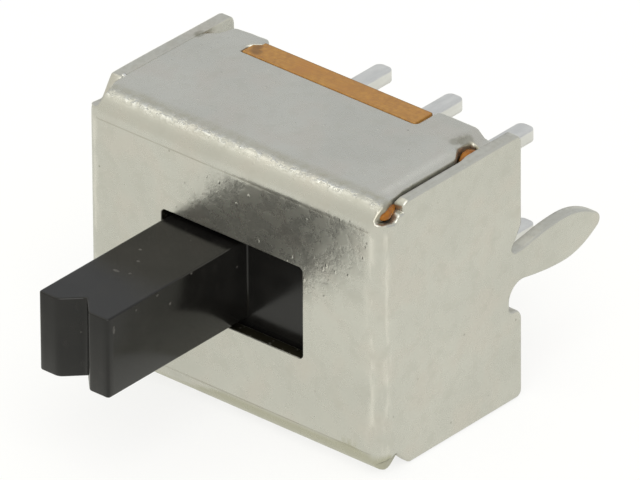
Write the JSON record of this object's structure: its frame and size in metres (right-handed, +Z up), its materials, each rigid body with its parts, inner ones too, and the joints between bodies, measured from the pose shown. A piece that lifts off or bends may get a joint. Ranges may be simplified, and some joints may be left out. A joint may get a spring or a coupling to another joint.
{
  "type": "slide switch",
  "caption": "Miniature slide switch: folded tinned steel can with board legs, laminate base, flat pins and a long black knob with a V groove that slides sideways.",
  "frame": {"origin": "the middle of the six-pin pattern on the board plane, where the can's rear edges meet the board", "axes": "+Y goes into the board along the pins, and the knob points along -Y. +X is the direction in which the knob travels from its rest position. +Z is up, and the can lies on its lower flange."},
  "size_m": [0.0082, 0.0114, 0.0065],
  "materials": {
    "tinned_steel": "satin tin plate",
    "laminate": "cut edges of brown paper laminate",
    "black_nylon": "moulded, slightly satin",
    "silvered_brass": "silver plate, satin",
    "contact_bronze": "spring bronze",
    "spring_steel": "bright"
  },
  "bodies": {
    "housing": {"frame": "tinned_steel", "base": "laminate", "terminal_upper_left": "silvered_brass", "terminal_upper_middle": "silvered_brass", "terminal_upper_right": "silvered_brass", "terminal_lower_left": "silvered_brass", "terminal_lower_middle": "silvered_brass", "terminal_lower_right": "silvered_brass"},
    "slider": {"slider": "black_nylon", "contact_upper": "contact_bronze", "contact_lower": "contact_bronze", "detent_spring": "spring_steel", "detent_ball": "spring_steel"}
  },
  "joints": [
    {"name": "slide", "type": "slide", "parent": "housing", "child": "slider", "axis": [1, 0, 0], "range_m": [0, 0.00185]}
  ]
}
